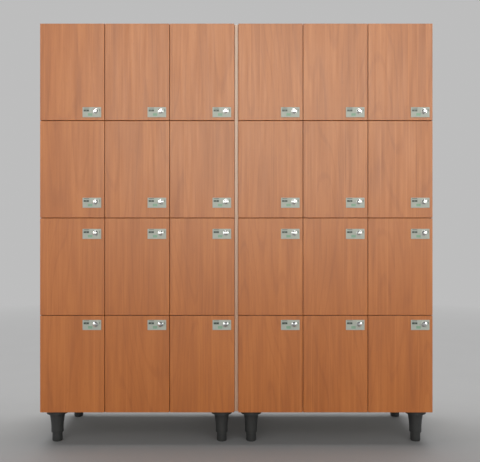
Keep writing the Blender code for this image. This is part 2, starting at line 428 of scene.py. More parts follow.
class Look(Enum):
    """The locker's finishes, each with its material slot in the record."""

    DOOR = (WoodLaminate("door_laminate_finish", 0.37), "door_laminate")
    DOOR_EDGE = (WoodLaminate("door_edge_finish", 0.45, *EDGE_WOOD), "door_laminate")
    BOARD = (Melamine("carcass_board_finish", 0.50), "carcass_board")
    BOARD_EDGE = (Melamine("carcass_edge_finish", 0.45, *EDGE_MELAMINE), "carcass_board")
    FRONT_BAND = (WoodLaminate("front_band_finish", 0.45, *EDGE_WOOD), "carcass_board")
    STRIP = (Melamine("filler_strip_finish", 0.36, *STRIP_TONES, 1.0), "filler_laminate")
    REAR_STRIP = (Melamine("rear_strip_finish", 0.45, *EDGE_MELAMINE), "filler_laminate")
    PLATE = (BrushedMetal("lock_plate_finish", 0.46, *PLATE_TONES, 0.0), "lock_chrome")
    CHROME = (Chrome("knob_chrome_finish", 0.10), "lock_chrome")
    ZINC = (BrushedMetal("zinc_finish", 0.38, *ZINC_TONES, 1.0, 0.01), "lock_chrome")
    WINDOW = (Moulded("number_window_finish", 0.30, (0.030, 0.040, 0.034), 0.00001), "leg_plastic")
    DIGITS = (Moulded("number_finish", 0.45, (0.26, 0.28, 0.25), 0.00001), "lock_chrome")
    ENAMEL = (Moulded("return_enamel_finish", 0.40, (0.17, 0.28, 0.20), 0.00002), "lock_chrome")
    CASE = (Moulded("lock_case_finish", 0.50, (0.045, 0.047, 0.05)), "leg_plastic")
    LEG = (Moulded("leg_plastic_finish", 0.46, (0.022, 0.022, 0.023)), "leg_plastic")
    PAD = (Moulded("foot_pad_finish", 0.75, (0.018, 0.018, 0.018), 0.00008), "leg_plastic")

    @property
    def slot(self) -> str:
        """The record's slot for this finish."""
        return self.value[1]

    def material(self) -> bpy.types.Material:
        """The material, made the first time that it is asked for."""
        finish = self.value[0]
        return bpy.data.materials.get(finish.name) or finish.build()


# ---------------------------------------------------------------------------
# Shapes
# ---------------------------------------------------------------------------


class Axis(Enum):
    """A row axis that a rod or a turned shape stands on."""

    X = 0
    Y = 1
    Z = 2

    def turn(self) -> Matrix:
        """The turn that takes +Z to this axis, or to -Y for Y, where the doors face."""
        turns = {Axis.X: (90, "Y"), Axis.Y: (90, "X"), Axis.Z: (0, "Z")}
        degrees, about = turns[self]
        return Matrix.Rotation(math.radians(degrees), 3, about)


class Shape:
    """A closed mesh that bmesh operators shape."""

    def __init__(self) -> None:
        self.bm = bmesh.new()

    @classmethod
    def block(cls, low: Point, high: Point, rounding: float = 0.0, segments: int = 2) -> "Shape":
        """A box between two corners, with its edges rounded.

        Args:
            low: Its lowest corner.
            high: Its highest corner.
            rounding: The bevel's width, or 0 for sharp edges.
            segments: Steps across the bevel.
        """
        made = cls()
        bmesh.ops.create_cube(made.bm, size=1.0)
        size = [max(b - a, 1e-6) for a, b in zip(low, high)]
        bmesh.ops.scale(made.bm, vec=size, verts=made.bm.verts)
        middle = [(a + b) / 2 for a, b in zip(low, high)]
        bmesh.ops.translate(made.bm, vec=middle, verts=made.bm.verts)
        if rounding:
            made.soften(rounding, segments)
        return made

    @classmethod
    def slab(
        cls, low: Point, high: Point, axis: Axis, corner: float, rounding: float, steps: int = 5
    ) -> "Shape":
        """A box with round corners seen along an axis and softened rims.

        Args:
            low: Its lowest corner.
            high: Its highest corner.
            axis: The axis that it is thin along.
            corner: Radius of its corners.
            rounding: Width of the soft rim.
            steps: Segments in each corner.
        """
        made = cls.block(low, high)
        upright = [e for e in made.bm.edges if made.runs_along(e, axis)]
        made.bevel(upright, corner, steps)
        if rounding:
            flat = [f for f in made.bm.faces if abs(f.normal[axis.value]) > 0.9]
            made.bevel({e for f in flat for e in f.edges}, rounding, 2)
        return made

    @classmethod
    def rod(
        cls, radius: float, start: Point, length: float, axis: Axis, sides: int = 32, end: float = 0.0
    ) -> "Shape":
        """A round bar that starts at a point and runs along an axis, or along -Y for Y.

        Args:
            radius: Its radius.
            start: The middle of its first end.
            length: Its length.
            axis: Its direction.
            sides: Faces around it.
            end: Bevel on both rims.
        """
        made = cls()
        bmesh.ops.create_cone(
            made.bm, cap_ends=True, segments=sides, radius1=radius, radius2=radius, depth=length
        )
        bmesh.ops.translate(made.bm, vec=(0, 0, length / 2), verts=made.bm.verts)
        if end:
            rims = [e for e in made.bm.edges if any(len(f.verts) > 4 for f in e.link_faces)]
            made.bevel(rims, end, 2)
        bmesh.ops.rotate(made.bm, verts=made.bm.verts, matrix=axis.turn())
        return made.moved(start)

    @classmethod
    def turned(
        cls, profile: Sequence[tuple[float, float]], start: Point, axis: Axis, sides: int = 48
    ) -> "Shape":
        """A turned solid; profile holds (radius, height) points and is closed on the axis.

        Args:
            profile: Points of the half outline, from one end of the axis to the other.
            start: Where the profile's height 0 sits.
            axis: The axis of turning, which heights run along, or along -Y for Y.
            sides: Steps around it.
        """
        made = cls()
        points = [made.bm.verts.new((radius, 0, height)) for radius, height in profile]
        edges = [made.bm.edges.new(pair) for pair in zip(points, points[1:])]
        bmesh.ops.spin(
            made.bm,
            geom=points + edges,
            cent=(0, 0, 0),
            axis=(0, 0, 1),
            angle=math.tau,
            steps=sides,
            use_merge=True,
        )
        bmesh.ops.remove_doubles(made.bm, verts=made.bm.verts, dist=1e-6)
        bmesh.ops.rotate(made.bm, verts=made.bm.verts, matrix=axis.turn())
        bmesh.ops.recalc_face_normals(made.bm, faces=made.bm.faces)
        return made.moved(start)

    @staticmethod
    def runs_along(edge: bmesh.types.BMEdge, axis: Axis) -> bool:
        """Whether an edge runs along an axis."""
        direction = (edge.verts[1].co - edge.verts[0].co).normalized()
        return abs(direction[axis.value]) > 0.99

    def bevel(self, edges: Iterable[bmesh.types.BMEdge], width: float, segments: int) -> "Shape":
        """Bevels some edges with a round profile."""
        bmesh.ops.bevel(
            self.bm,
            geom=list(edges),
            offset=width,
            offset_type="OFFSET",
            segments=segments,
            profile=0.5,
            affect="EDGES",
            clamp_overlap=True,
            material=-1,
        )
        return self

    def soften(self, width: float, segments: int = 2) -> "Shape":
        """Bevels every edge."""
        return self.bevel(self.bm.edges, width, segments)

    def moved(self, offset: Point) -> "Shape":
        """Moves the whole shape."""
        bmesh.ops.translate(self.bm, vec=offset, verts=self.bm.verts)
        return self

    def flipped(self, axis: Axis) -> "Shape":
        """Mirrors the shape in the plane through the origin across an axis."""
        scale = [1.0, 1.0, 1.0]
        scale[axis.value] = -1.0
        bmesh.ops.scale(self.bm, vec=scale, verts=self.bm.verts)
        bmesh.ops.recalc_face_normals(self.bm, faces=self.bm.faces)
        return self

    def _score(self, axis: Axis, low: Point, high: Point) -> None:
        """Cuts the faces along the sides of a rectangle seen along an axis."""
        for other in (a for a in Axis if a != axis):
            normal = [float(i == other.value) for i in range(3)]
            for corner in (low, high):
                geom = [*self.bm.verts, *self.bm.edges, *self.bm.faces]
                bmesh.ops.bisect_plane(
                    self.bm, geom=geom, dist=1e-6, plane_co=corner, plane_no=normal
                )

    def _patch(self, axis: Axis, side: int, low: Point, high: Point) -> list[bmesh.types.BMFace]:
        """The faces inside a rectangle that look along an axis, to its + or - side."""
        others = [a.value for a in Axis if a != axis]
        return [
            face
            for face in self.bm.faces
            if face.normal[axis.value] * side > 0.9
            and all(low[i] < face.calc_center_median()[i] < high[i] for i in others)
        ]

    def sink(
        self, axis: Axis, side: int, low: Point, high: Point, depth: float, draft: float = 0.0002
    ) -> "Shape":
        """Sinks a rectangular pocket into the face that looks to one side of an axis.

        Args:
            axis: The axis that the face looks along.
            side: 1 for its + side and -1 for its - side.
            low: The rectangle's lowest corner.
            high: Its highest corner.
            depth: The pocket's depth, or its height if negative.
            draft: How far its walls lean in.
        """
        self._score(axis, low, high)
        faces = self._patch(axis, side, low, high)
        bmesh.ops.inset_region(
            self.bm, faces=faces, thickness=draft, depth=-depth, use_even_offset=True
        )
        return self

    def pierce(self, axis: Axis, low: Point, high: Point) -> "Shape":
        """Cuts a rectangular hole right through along an axis."""
        self._score(axis, low, high)
        faces = self._patch(axis, 1, low, high) + self._patch(axis, -1, low, high)
        rims = [e for f in faces for e in f.edges]
        bmesh.ops.delete(self.bm, geom=faces, context="FACES")
        rims = [e for e in set(rims) if e.is_valid and e.is_boundary]
        bmesh.ops.bridge_loops(self.bm, edges=rims)
        bmesh.ops.recalc_face_normals(self.bm, faces=self.bm.faces)
        return self

    def paint(self, index: int) -> "Shape":
        """Gives every face one of the piece's finishes, by its place in the list."""
        for face in self.bm.faces:
            face.material_index = index
        return self

    def paint_facing(self, axis: Axis, index: int, least: float = 0.5) -> "Shape":
        """Gives the faces that don't look along an axis one of the piece's finishes."""
        for face in self.bm.faces:
            if abs(face.normal[axis.value]) < least:
                face.material_index = index
        return self

    def paint_front(self, front: float, index: int, band: float = 0.001) -> "Shape":
        """Gives the faces that lie within a band of the front one of the piece's finishes."""
        for face in self.bm.faces:
            if max(vert.co.y for vert in face.verts) < front + band:
                face.material_index = index
        return self

    def join(self, *others: "Shape") -> "Shape":
        """Adds other shapes to this one and frees them."""
        for other in others:
            mesh = other.mesh("joined")
            self.bm.from_mesh(mesh)
            bpy.data.meshes.remove(mesh)
        return self

    def mesh(self, name: str) -> bpy.types.Mesh:
        """The shape as a mesh; its bmesh is freed."""
        mesh = bpy.data.meshes.new(name)
        self.bm.to_mesh(mesh)
        self.bm.free()
        return mesh


def arc(
    middle: tuple[float, float], radius: float, start: float, end: float, steps: int
) -> list[tuple[float, float]]:
    """Profile points on an arc.

    Args:
        middle: The arc's middle, as a radius and a height.
        radius: Its own radius.
        start: Its first angle in degrees, from the outward direction.
        end: Its last angle.
        steps: How many parts it has.

    Returns:
        Its points as radii and heights.
    """
    turns = [math.radians(start + (end - start) * step / steps) for step in range(steps + 1)]
    return [(middle[0] + radius * math.cos(a), middle[1] + radius * math.sin(a)) for a in turns]


def lettering(text: str, height: float, depth: float, middle: Point) -> Shape:
    """Raised figures that face -Y.

    Args:
        text: The figures.
        height: Their size.
        depth: How far they stand up.
        middle: The middle of their back.

    Returns:
        The figures as one shape.
    """
    curve = bpy.data.curves.new("figures", "FONT")
    curve.body = text
    curve.size = height
    curve.extrude = depth / 2
    curve.align_x = "CENTER"
    curve.align_y = "CENTER"
    curve.resolution_u = 3
    holder = bpy.data.objects.new("figures", curve)
    bpy.context.scene.collection.objects.link(holder)
    depsgraph = bpy.context.evaluated_depsgraph_get()
    mesh = bpy.data.meshes.new_from_object(holder.evaluated_get(depsgraph), depsgraph=depsgraph)
    bpy.data.objects.remove(holder)
    made = Shape()
    made.bm.from_mesh(mesh)
    bpy.data.meshes.remove(mesh)
    bmesh.ops.remove_doubles(made.bm, verts=made.bm.verts, dist=1e-6)
    bmesh.ops.rotate(made.bm, verts=made.bm.verts, matrix=Axis.Y.turn())
    return made.moved(middle)


def add_piece(
    name: str,
    shape: Shape,
    looks: Sequence[Look],
    body: str,
    replaces: Sequence[str] = (),
    seed: float | None = None,
    across: tuple[Point, Point] | None = None,
) -> bpy.types.Object:
    """Makes a shape a finished piece that rides on a body.

    Args:
        name: The piece's name.
        shape: Its shape in the row frame, which is freed.
        looks: Its finishes, in the order of its faces' indices.
        body: The body it rides on.
        replaces: CAD nodes that it stands for.
        seed: The sheet it was cut from, where its finish tells sheets apart.
        across: For a piece between the root and the body, where it would start and end; only whether it
            is given is read, and such a piece is baked in place, rides on nothing and is not bent.

    Returns:
        The piece.
    """
    mesh = shape.mesh(name)
    for look in looks:
        mesh.materials.append(look.material())
    mesh.shade_smooth()
    mesh.set_sharp_from_angle(angle=SMOOTH_ANGLE)
    if seed is not None:
        attribute = mesh.attributes.new(SEED_ATTRIBUTE, "FLOAT", "POINT")
        attribute.data.foreach_set("value", [seed] * len(mesh.vertices))
    piece = bpy.data.objects.new(name, mesh)
    bpy.context.scene.collection.objects.link(piece)
    if across:
        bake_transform(piece)
    else:
        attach(piece, body)
    if replaces:
        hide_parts(*replaces)
    LOG.info("%s rides on %s", name, body)
    return piece


# ---------------------------------------------------------------------------
# Sub-assemblies
# ---------------------------------------------------------------------------


@dataclass
class Layout:
    """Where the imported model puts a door, its lock and the compartment behind it.

    Attributes:
        number: The door's number, counted down each column from the left.
    """

    number: int
    door: str = field(init=False)
    key: str = field(init=False)
    hinge: Vector = field(init=False)
    knob: Vector = field(init=False)

    def __post_init__(self) -> None:
        self.door = f"door_{self.number:02d}"
        self.key = f"key_{self.number:02d}"
        joints = {joint["name"]: joint for joint in frame["joints"]}
        self.hinge = Vector(joints[f"{self.door}_hinge"]["pos_m"])
        self.knob = Vector(joints[f"{self.key}_turn"]["pos_m"])

    @property
    def column(self) -> int:
        """The door's column in its bank, from 0."""
        return (self.number - 1) // 4 % 3

    @property
    def cam_up(self) -> bool:
        """Whether the unlocked cam points up."""
        low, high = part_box(self.key)
        return high.z - self.knob.z > self.knob.z - low.z


@dataclass
class Carcass:
    """The boards of one bank.

    Attributes:
        bank: "left" or "right".
        doors: The doors of the bank.
        board: Thickness of the boards.
        back: Thickness of the back panel.
        back_recess: How far the back panel lies inside the back edges.
        edge: Rounding of the banded edges.
    """

    bank: str
    doors: list[Layout]
    board: float = 18 * MM
    back: float = 6 * MM
    back_recess: float = 2 * MM
    back_gap: float = 0.6 * MM
    edge: float = 0.6 * MM
    screw: float = 3.6 * MM
    screw_inset: float = 8 * MM
    slot_depth: float = 11 * MM
    slot_room: float = 2 * MM
    slot_past_cam: float = 8 * MM
    slot_along_swing: float = 28 * MM
    columns: int = 3
    rows: int = 4

    def __post_init__(self) -> None:
        self.node = f"carcass_{self.bank}"
        self.low, self.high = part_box(self.node)
        self.pitch_x = (self.high.x - self.low.x) / self.columns
        self.pitch_z = (self.high.z - self.low.z) / self.rows

    def build(self) -> None:
        """Builds every board of the bank."""
        self.add_sides()
        self.add_ends()
        self.add_partitions()
        self.add_shelves()
        self.add_back()

    def _board(self, name: str, low: Point, high: Point, slots: Iterable[Layout] = ()) -> None:
        """One board with banded edges, and with cam slots in the face that looks to -X."""
        shape = Shape.block(low, high, self.edge, 1)
        for lock in slots:
            shape.sink(Axis.X, -1, *self._slot(lock), self.slot_depth)
        thin = Axis(min(range(3), key=lambda i: high[i] - low[i]))
        shape.paint_facing(thin, 1)
        looks = [Look.BOARD, Look.BOARD_EDGE]
        if thin is not Axis.Y:
            shape.paint_front(low[1], 2)
            looks.append(Look.FRONT_BAND)
        add_piece(f"{name}_{self.bank}", shape, looks, "root", [self.node])

    def _slot(self, lock: Layout) -> tuple[Point, Point]:
        """Corners of the slot that a lock's cam turns into."""
        cam_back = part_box(lock.key)[1].y
        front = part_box(lock.door)[1].y
        down, up = self.slot_past_cam, self.slot_along_swing
        if not lock.cam_up:
            down, up = up, down
        low = (self.low.x, front - self.slot_room / 4, lock.knob.z - down)
        high = (self.high.x, cam_back + self.slot_room / 2, lock.knob.z + up)
        return low, high

    def _locks(self, column: int) -> list[Layout]:
        """The doors of a column."""
        return [door for door in self.doors if door.column == column]

    def add_sides(self) -> None:
        """The two sides, from floor board to top board; the right one takes cams."""
        low, high = self.low, self.high
        self._board("side_outer", low, (low.x + self.board, high.y, high.z))
        last = self._locks(self.columns - 1)
        self._board("side_inner", (high.x - self.board, low.y, low.z), high, last)

    def add_ends(self) -> None:
        """The top and bottom boards, between the sides."""
        left, right = self.low.x + self.board, self.high.x - self.board
        low, high = self.low, self.high
        self._board("bottom", (left, low.y, low.z), (right, high.y, low.z + self.board))
        self._board("top", (left, low.y, high.z - self.board), (right, high.y, high.z))

    def add_partitions(self) -> None:
        """The upright boards between columns."""
        for column in range(1, self.columns):
            x = self.low.x + column * self.pitch_x
            low = (x - self.board / 2, self.low.y, self.low.z + self.board)
            high = (x + self.board / 2, self.high.y - self.back, self.high.z - self.board)
            self._board(f"partition_{column}", low, high, self._locks(column - 1))

    def add_shelves(self) -> None:
        """The shelves of each column."""
        for column in range(self.columns):
            left = self.low.x + column * self.pitch_x
            right = left + self.pitch_x
            left += self.board if column == 0 else self.board / 2
            right -= self.board if column == self.columns - 1 else self.board / 2
            for level in range(1, self.rows):
                z = self.low.z + level * self.pitch_z
                low = (left, self.low.y, z - self.board / 2)
                high = (right, self.high.y - self.back, z + self.board / 2)
                self._board(f"shelf_{column + 1}_{level}", low, high)

    def add_back(self) -> None:
        """The back panel, let in between the outer boards and screwed to what it covers."""
        inset = self.board + self.back_gap
        low = (self.low.x + inset, self.high.y - self.back, self.low.z + inset)
        high = (self.high.x - inset, self.high.y - self.back_recess, self.high.z - inset)
        self._board("back_panel", low, high)
        screws = Shape()
        rows = [low[2] + self.screw_inset, high[2] - self.screw_inset]
        rows += [self.low.z + level * self.pitch_z for level in range(1, self.rows)]
        rows += [self.low.z + (level + 0.5) * self.pitch_z for level in range(self.rows)]
        columns = [low[0] + self.screw_inset, high[0] - self.screw_inset]
        columns += [self.low.x + column * self.pitch_x for column in range(1, self.columns)]
        for z in rows:
            for x in columns:
                screws.join(screw_head((x, high[1] - SEAT, z), Axis.Y, -1, self.screw))
        add_piece(f"back_screws_{self.bank}", screws, [Look.ZINC], "root")


@dataclass
class Door:
    """A door leaf on its two concealed hinges.

    Attributes:
        at: Where the door is.
        leaf: Thickness of the leaf.
        hinge_from_end: Height of each hinge from the leaf's nearer end.
        cup_radius: Radius of a hinge cup's bowl.
        cup_flange: Radius of the flange around it.
        cup_from_edge: Distance of a cup's middle from the leaf's edge.
        wing: Offset, half width and thickness of the ears that a cup is screwed down by.
        mount: A mounting plate's first and last depth, half height and thickness.
        arm: An arm's first and last depth, half height and rise from the board.
        link: A link's first and last place across the cup, offset and half thickness.
        board: Thickness of the carcass's boards.
        half_gap: Half the gap between doors.
    """

    at: Layout
    leaf: float = 20 * MM
    end_edge: float = 1.2 * MM
    side_edge: float = 0.8 * MM
    hinge_from_end: float = 85 * MM
    cup_radius: float = 13.4 * MM
    cup_flange: float = 19.2 * MM
    cup_from_edge: float = 22.5 * MM
    cup_depth: float = 11 * MM
    cup_wall: float = 1.2 * MM
    cup_play: float = 0.05 * MM
    cup_room: float = 1.6 * MM
    cup_screw: float = 3.6 * MM
    wing: tuple[float, float, float] = (24 * MM, 8 * MM, 1.2 * MM)
    mount: tuple[float, float, float, float] = (28 * MM, 46 * MM, 26 * MM, 3 * MM)
    arm: tuple[float, float, float, float] = (7 * MM, 62 * MM, 6.5 * MM, 14 * MM)
    link: tuple[float, float, float, float] = (-5 * MM, 3 * MM, 4.2 * MM, 1.2 * MM)
    wing_corner: float = 5 * MM
    mount_corner: float = 6 * MM
    mount_screw: float = 4 * MM
    mount_screw_offset: float = 19 * MM
    arm_edge: float = 1.6 * MM
    arm_seat: float = 0.5 * MM
    arm_screw: float = 3.5 * MM
    arm_screw_depths: tuple[float, float] = (20 * MM, 52 * MM)
    link_in_cup: float = 6 * MM
    link_in_arm: float = 14 * MM
    link_cuts: int = 12
    bend_start: float = 12 * MM
    bend_end: float = 1 * MM
    board: float = 18 * MM
    half_gap: float = 1.5 * MM

    def __post_init__(self) -> None:
        low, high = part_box(self.at.door)
        self.low = Vector((low.x, self.at.hinge.y, low.z))
        self.high = Vector((high.x, self.at.hinge.y + self.leaf, high.z))
        ends = (self.low.z + self.hinge_from_end, self.high.z - self.hinge_from_end)
        self.cups = [Vector((self.low.x + self.cup_from_edge, self.high.y, z)) for z in ends]
        board = self.board if self.at.column == 0 else self.board / 2
        self.board_face = self.low.x - self.half_gap + board
        self.carcass_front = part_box("carcass_left")[0].y

    def build(self, lock: "CoinLock") -> None:
        """Builds the leaf and its hinges.

        Args:
            lock: The lock that the leaf is cut for.
        """
        name, body = f"{self.at.number:02d}", self.at.door
        leaf = Shape.block(self.low, self.high)
        leaf.bevel([e for e in leaf.bm.edges if Shape.runs_along(e, Axis.X)], self.end_edge, 2)
        leaf.bevel([e for e in leaf.bm.edges if Shape.runs_along(e, Axis.Z)], self.side_edge, 2)
        leaf.pierce(Axis.Y, *lock.opening())
        room = self.cup_radius + self.cup_play
        for cup in self.cups:
            low = (cup.x - room, self.high.y, cup.z - room)
            high = (cup.x + room, self.high.y, cup.z + room)
            leaf.sink(Axis.Y, 1, low, high, self.cup_depth + self.cup_room)
        leaf.paint_facing(Axis.Y, 1)
        looks = [Look.DOOR, Look.DOOR_EDGE]
        add_piece(f"door_leaf_{name}", leaf, looks, body, [body], self.at.number * 3.7)
        add_piece(f"hinge_cups_{name}", self.cup_pair(), [Look.ZINC], body)
        add_piece(f"hinge_arms_{name}", self.arm_pair(), [Look.ZINC], "root")
        start = (self.low.x, self.carcass_front + self.bend_start, self.low.z)
        end = (self.low.x, self.high.y - self.bend_end, self.low.z)
        add_piece(f"hinge_links_{name}", self.link_pair(), [Look.ZINC], body, across=(start, end))

    def cup_pair(self) -> Shape:
        """Two cups let into the leaf's back, each with a screwed flange."""
        made = Shape()
        for cup in self.cups:
            side, rim, wall = self.cup_radius, self.cup_flange, self.cup_wall
            turn, seam, lip, soft = 1 * MM, 0.02 * MM, 0.9 * MM, 0.4 * MM
            profile = [
                (0, -self.cup_depth),
                (side - wall - turn, -self.cup_depth),
                (side - wall, -self.cup_depth + turn),
                (side - wall, soft / 2),
                (side - wall / 2, lip),
                (rim - soft, lip),
                (rim, lip - soft),
                (rim, seam),
                (side, seam),
                (side, -self.cup_depth - wall),
                (0, -self.cup_depth - wall),
            ]
            bowl = Shape.turned([(r, -h) for r, h in profile], cup, Axis.Y, 32)
            made.join(bowl)
            offset, half, thick = self.wing
            for z in (cup.z - offset, cup.z + offset):
                low = (cup.x - half, cup.y, z - half)
                high = (cup.x + half, cup.y + thick, z + half)
                made.join(Shape.slab(low, high, Axis.Y, self.wing_corner, thick / 4, 4))
                made.join(screw_head((cup.x, cup.y + thick - 2 * SEAT, z), Axis.Y, -1, self.cup_screw))
        return made

    def arm_pair(self) -> Shape:
        """Two mounting plates on the board beside the door, each with its arm."""
        made = Shape()
        face, front = self.board_face, self.carcass_front
        for cup in self.cups:
            start, end, half, rise = self.mount
            low = (face, front + start, cup.z - half)
            high = (face + rise, front + end, cup.z + half)
            made.join(Shape.slab(low, high, Axis.X, self.mount_corner, self.arm_seat, 4))
            for z in (cup.z - self.mount_screw_offset, cup.z + self.mount_screw_offset):
                place = (face + rise - self.arm_seat, front + (start + end) / 2, z)
                made.join(screw_head(place, Axis.X, 1, self.mount_screw))
            start, end, half, rise = self.arm
            low = (face + self.arm_seat, front + start, cup.z - half)
            high = (face + rise, front + end, cup.z + half)
            made.join(Shape.block(low, high, self.arm_edge, 2))
            for depth in self.arm_screw_depths:
                place = (face + rise - self.arm_seat, front + depth, cup.z)
                made.join(screw_head(place, Axis.X, 1, self.arm_screw))
        return made

    def link_pair(self) -> Shape:
        """Two pairs of links that join the arms to the cups."""
        made = Shape()
        left, right, offset, half = self.link
        for cup in self.cups:
            for z in (cup.z - offset, cup.z + offset):
                low = (cup.x + left, self.high.y - self.link_in_cup, z - half)
                high = (cup.x + right, self.carcass_front + self.link_in_arm, z + half)
                link = Shape.block(low, high)
                along = [e for e in link.bm.edges if Shape.runs_along(e, Axis.Y)]
                bmesh.ops.subdivide_edges(link.bm, edges=along, cuts=self.link_cuts, use_grid_fill=True)
                made.join(link)
        return made


def screw_head(place: Point, axis: Axis, side: int, radius: float) -> Shape:
    """A pan head with a cross recess.

    Args:
        place: Where it sits on the surface.
        axis: The axis that it stands on.
        side: Which way it stands: 1 for the way that axis.turn() gives, -1 for the other.
        radius: Its radius.
    """
    rise = radius * 0.45
    profile = [(0, rise), (radius * 0.6, rise), (radius * 0.92, rise * 0.6), (radius, 0), (0, 0)]
    head = Shape.turned([(r, h * side) for r, h in profile], (0, 0, 0), axis, 20)
    return head.moved(place)


@dataclass
class CoinLock:
    """A coin lock: face plate, number window, coin slot, knob, case and cam.

    Attributes:
        at: Where the lock's door is.
        width: Width of the face plate.
        height: Height of the face plate.
        window: Left, right, top and bottom of the number window, from the plate's left and top.
        coin_slot: The same for the coin slot, and so for the next two.
        knob_cone: How far the knob's cone rises from its collar to its nose.
        keyway: Half width and half length of the keyway.
        opening_inset: How far the hole in the leaf lies inside the plate; three times on the right.
        opening_rise: How much higher the hole reaches, behind the coin slot.
        neck_gap: Room around the neck of the case in the hole.
        neck_depth: How far behind the leaf's face the neck starts.
    """

    at: Layout
    width: float = 86 * MM
    height: float = 46.5 * MM
    corner: float = 1.6 * MM
    knob_from_right: float = 25 * MM
    knob_from_top: float = 18.5 * MM
    window: tuple[float, float, float, float] = (5 * MM, 30 * MM, 10.5 * MM, 20 * MM)
    coin_slot: tuple[float, float, float, float] = (6 * MM, 30 * MM, 3 * MM, 5.4 * MM)
    coin_return: tuple[float, float, float, float] = (24.5 * MM, 45.5 * MM, 27.5 * MM, 40 * MM)
    indicator: tuple[float, float, float, float] = (78 * MM, 81 * MM, 8 * MM, 20 * MM)
    edge: float = 0.5 * MM
    pocket_depth: float = 0.9 * MM
    window_gap: float = 0.3 * MM
    window_recess: float = 0.25 * MM
    figure: float = 6.5 * MM
    figure_rise: float = 0.2 * MM
    inlay_gap: float = 0.35 * MM
    inlay_back: float = 0.85 * MM
    knob_rim: float = 11.9 * MM
    knob_cone: float = 6.0 * MM
    knob_nose: float = 4.5 * MM
    knob_crown: float = 0.25 * MM
    keyway: tuple[float, float] = (0.75 * MM, 3 * MM)
    keyway_depth: float = 2.5 * MM
    opening_inset: float = 4 * MM
    opening_rise: float = 1.6 * MM
    neck_gap: float = 0.5 * MM
    neck_depth: float = 3 * MM
    case_edge: float = 1.8 * MM
    case_screw: float = 2.4 * MM
    case_screw_inset: float = 6 * MM
    case_from_right: float = 11.6 * MM
    case_width: float = 66 * MM
    case_height: float = 45 * MM
    leaf: float = 20 * MM
    plug: float = 7.9 * MM
    cam_half: float = 6 * MM
    cam_tail: float = 9 * MM
    cam_front: float = 5.4 * MM
    cam_back: float = 1.6 * MM
    nut: float = 5.5 * MM
    nut_height: float = 1.7 * MM

    def __post_init__(self) -> None:
        self.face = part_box(self.at.door)[0].y
        self.leaf_face = self.at.hinge.y
        self.right = self.at.knob.x + self.knob_from_right
        self.left = self.right - self.width
        self.top = self.at.knob.z + self.knob_from_top
        self.bottom = self.top - self.height

    def area(self, sides: Sequence[float], front: float, back: float) -> tuple[Point, Point]:
        """Corners of a place on the plate.

        Args:
            sides: Its left and right from the plate's left, and its top and bottom from its top.
            front: The nearest Y.
            back: The farthest Y.
        """
        left, right, top, bottom = sides
        low = (self.left + left, front, self.top - bottom)
        return low, (self.left + right, back, self.top - top)

    def opening(self) -> tuple[Point, Point]:
        """Corners of the hole in the leaf that the lock's body goes through."""
        inset = self.opening_inset
        low = (self.left + inset, self.face, self.bottom + inset)
        return low, (self.right - 3 * inset, self.face, self.top - inset + self.opening_rise)

    def build(self) -> None:
        """Builds the lock's pieces."""
        name, body = f"{self.at.number:02d}", self.at.door
        add_piece(f"lock_plate_{name}", self.plate(), [Look.PLATE, Look.CASE], body)
        add_piece(f"number_window_{name}", self.number_window(), [Look.WINDOW, Look.DIGITS], body)
        add_piece(f"coin_return_{name}", self.inlay(self.coin_return), [Look.ENAMEL], body)
        add_piece(f"lock_indicator_{name}", self.inlay(self.indicator), [Look.CASE], body)
        add_piece(f"lock_case_{name}", self.case(), [Look.CASE, Look.ZINC], body)
        add_piece(f"knob_bezel_{name}", self.bezel(), [Look.ZINC], body)
        add_piece(f"knob_{name}", self.knob(), [Look.CHROME, Look.CASE], self.at.key, [self.at.key])
        add_piece(f"lock_cam_{name}", self.cam(), [Look.ZINC], self.at.key)

    def plate(self) -> Shape:
        """The face plate with its pockets and its coin slot."""
        low, high = self.area((0, self.width, 0, self.height), self.face, self.leaf_face - SEAT)
        made = Shape.slab(low, high, Axis.Y, self.corner, self.edge)
        for sides in (self.window, self.coin_return, self.indicator):
            made.sink(Axis.Y, -1, *self.area(sides, self.face, self.face), self.pocket_depth)
        return made.pierce(Axis.Y, *self.area(self.coin_slot, self.face, self.face))

    def number_window(self) -> Shape:
        """A dark number plate with the door's number raised on it."""
        gap = self.window_gap
        left, right, top, bottom = self.window
        sides = (left + gap, right - gap, top + gap, bottom - gap)
        front = self.face + self.window_recess
        low, high = self.area(sides, front, self.face + self.inlay_back)
        made = Shape.slab(low, high, Axis.Y, 0.6 * MM, 0.12 * MM, 3)
        middle = ((low[0] + high[0]) / 2, front - self.figure_rise / 4, (low[2] + high[2]) / 2)
        figures = lettering(f"{self.at.number:02d}", self.figure, self.figure_rise, middle)
        return made.join(figures.paint(1))

    def inlay(self, pocket: Sequence[float]) -> Shape:
        """A slightly domed inlay that fills a pocket of the plate."""
        gap = self.inlay_gap
        left, right, top, bottom = pocket
        sides = (left + gap, right - gap, top + gap, bottom - gap)
        low, high = self.area(sides, self.face + gap, self.face + self.inlay_back)
        return Shape.slab(low, high, Axis.Y, 0.8 * MM, 0.2 * MM, 3)

    def bezel(self) -> Shape:
        """A thin washer around the knob."""
        profile = [(12.2, 0), (13.4, 0), (13.4, 0.3), (13.0, 0.6), (12.2, 0.6)]
        points = [(r * MM, h * MM) for r, h in [*profile, profile[0]]]
        start = (self.at.knob.x, self.face, self.at.knob.z)
        return Shape.turned(points, start, Axis.Y, 48)

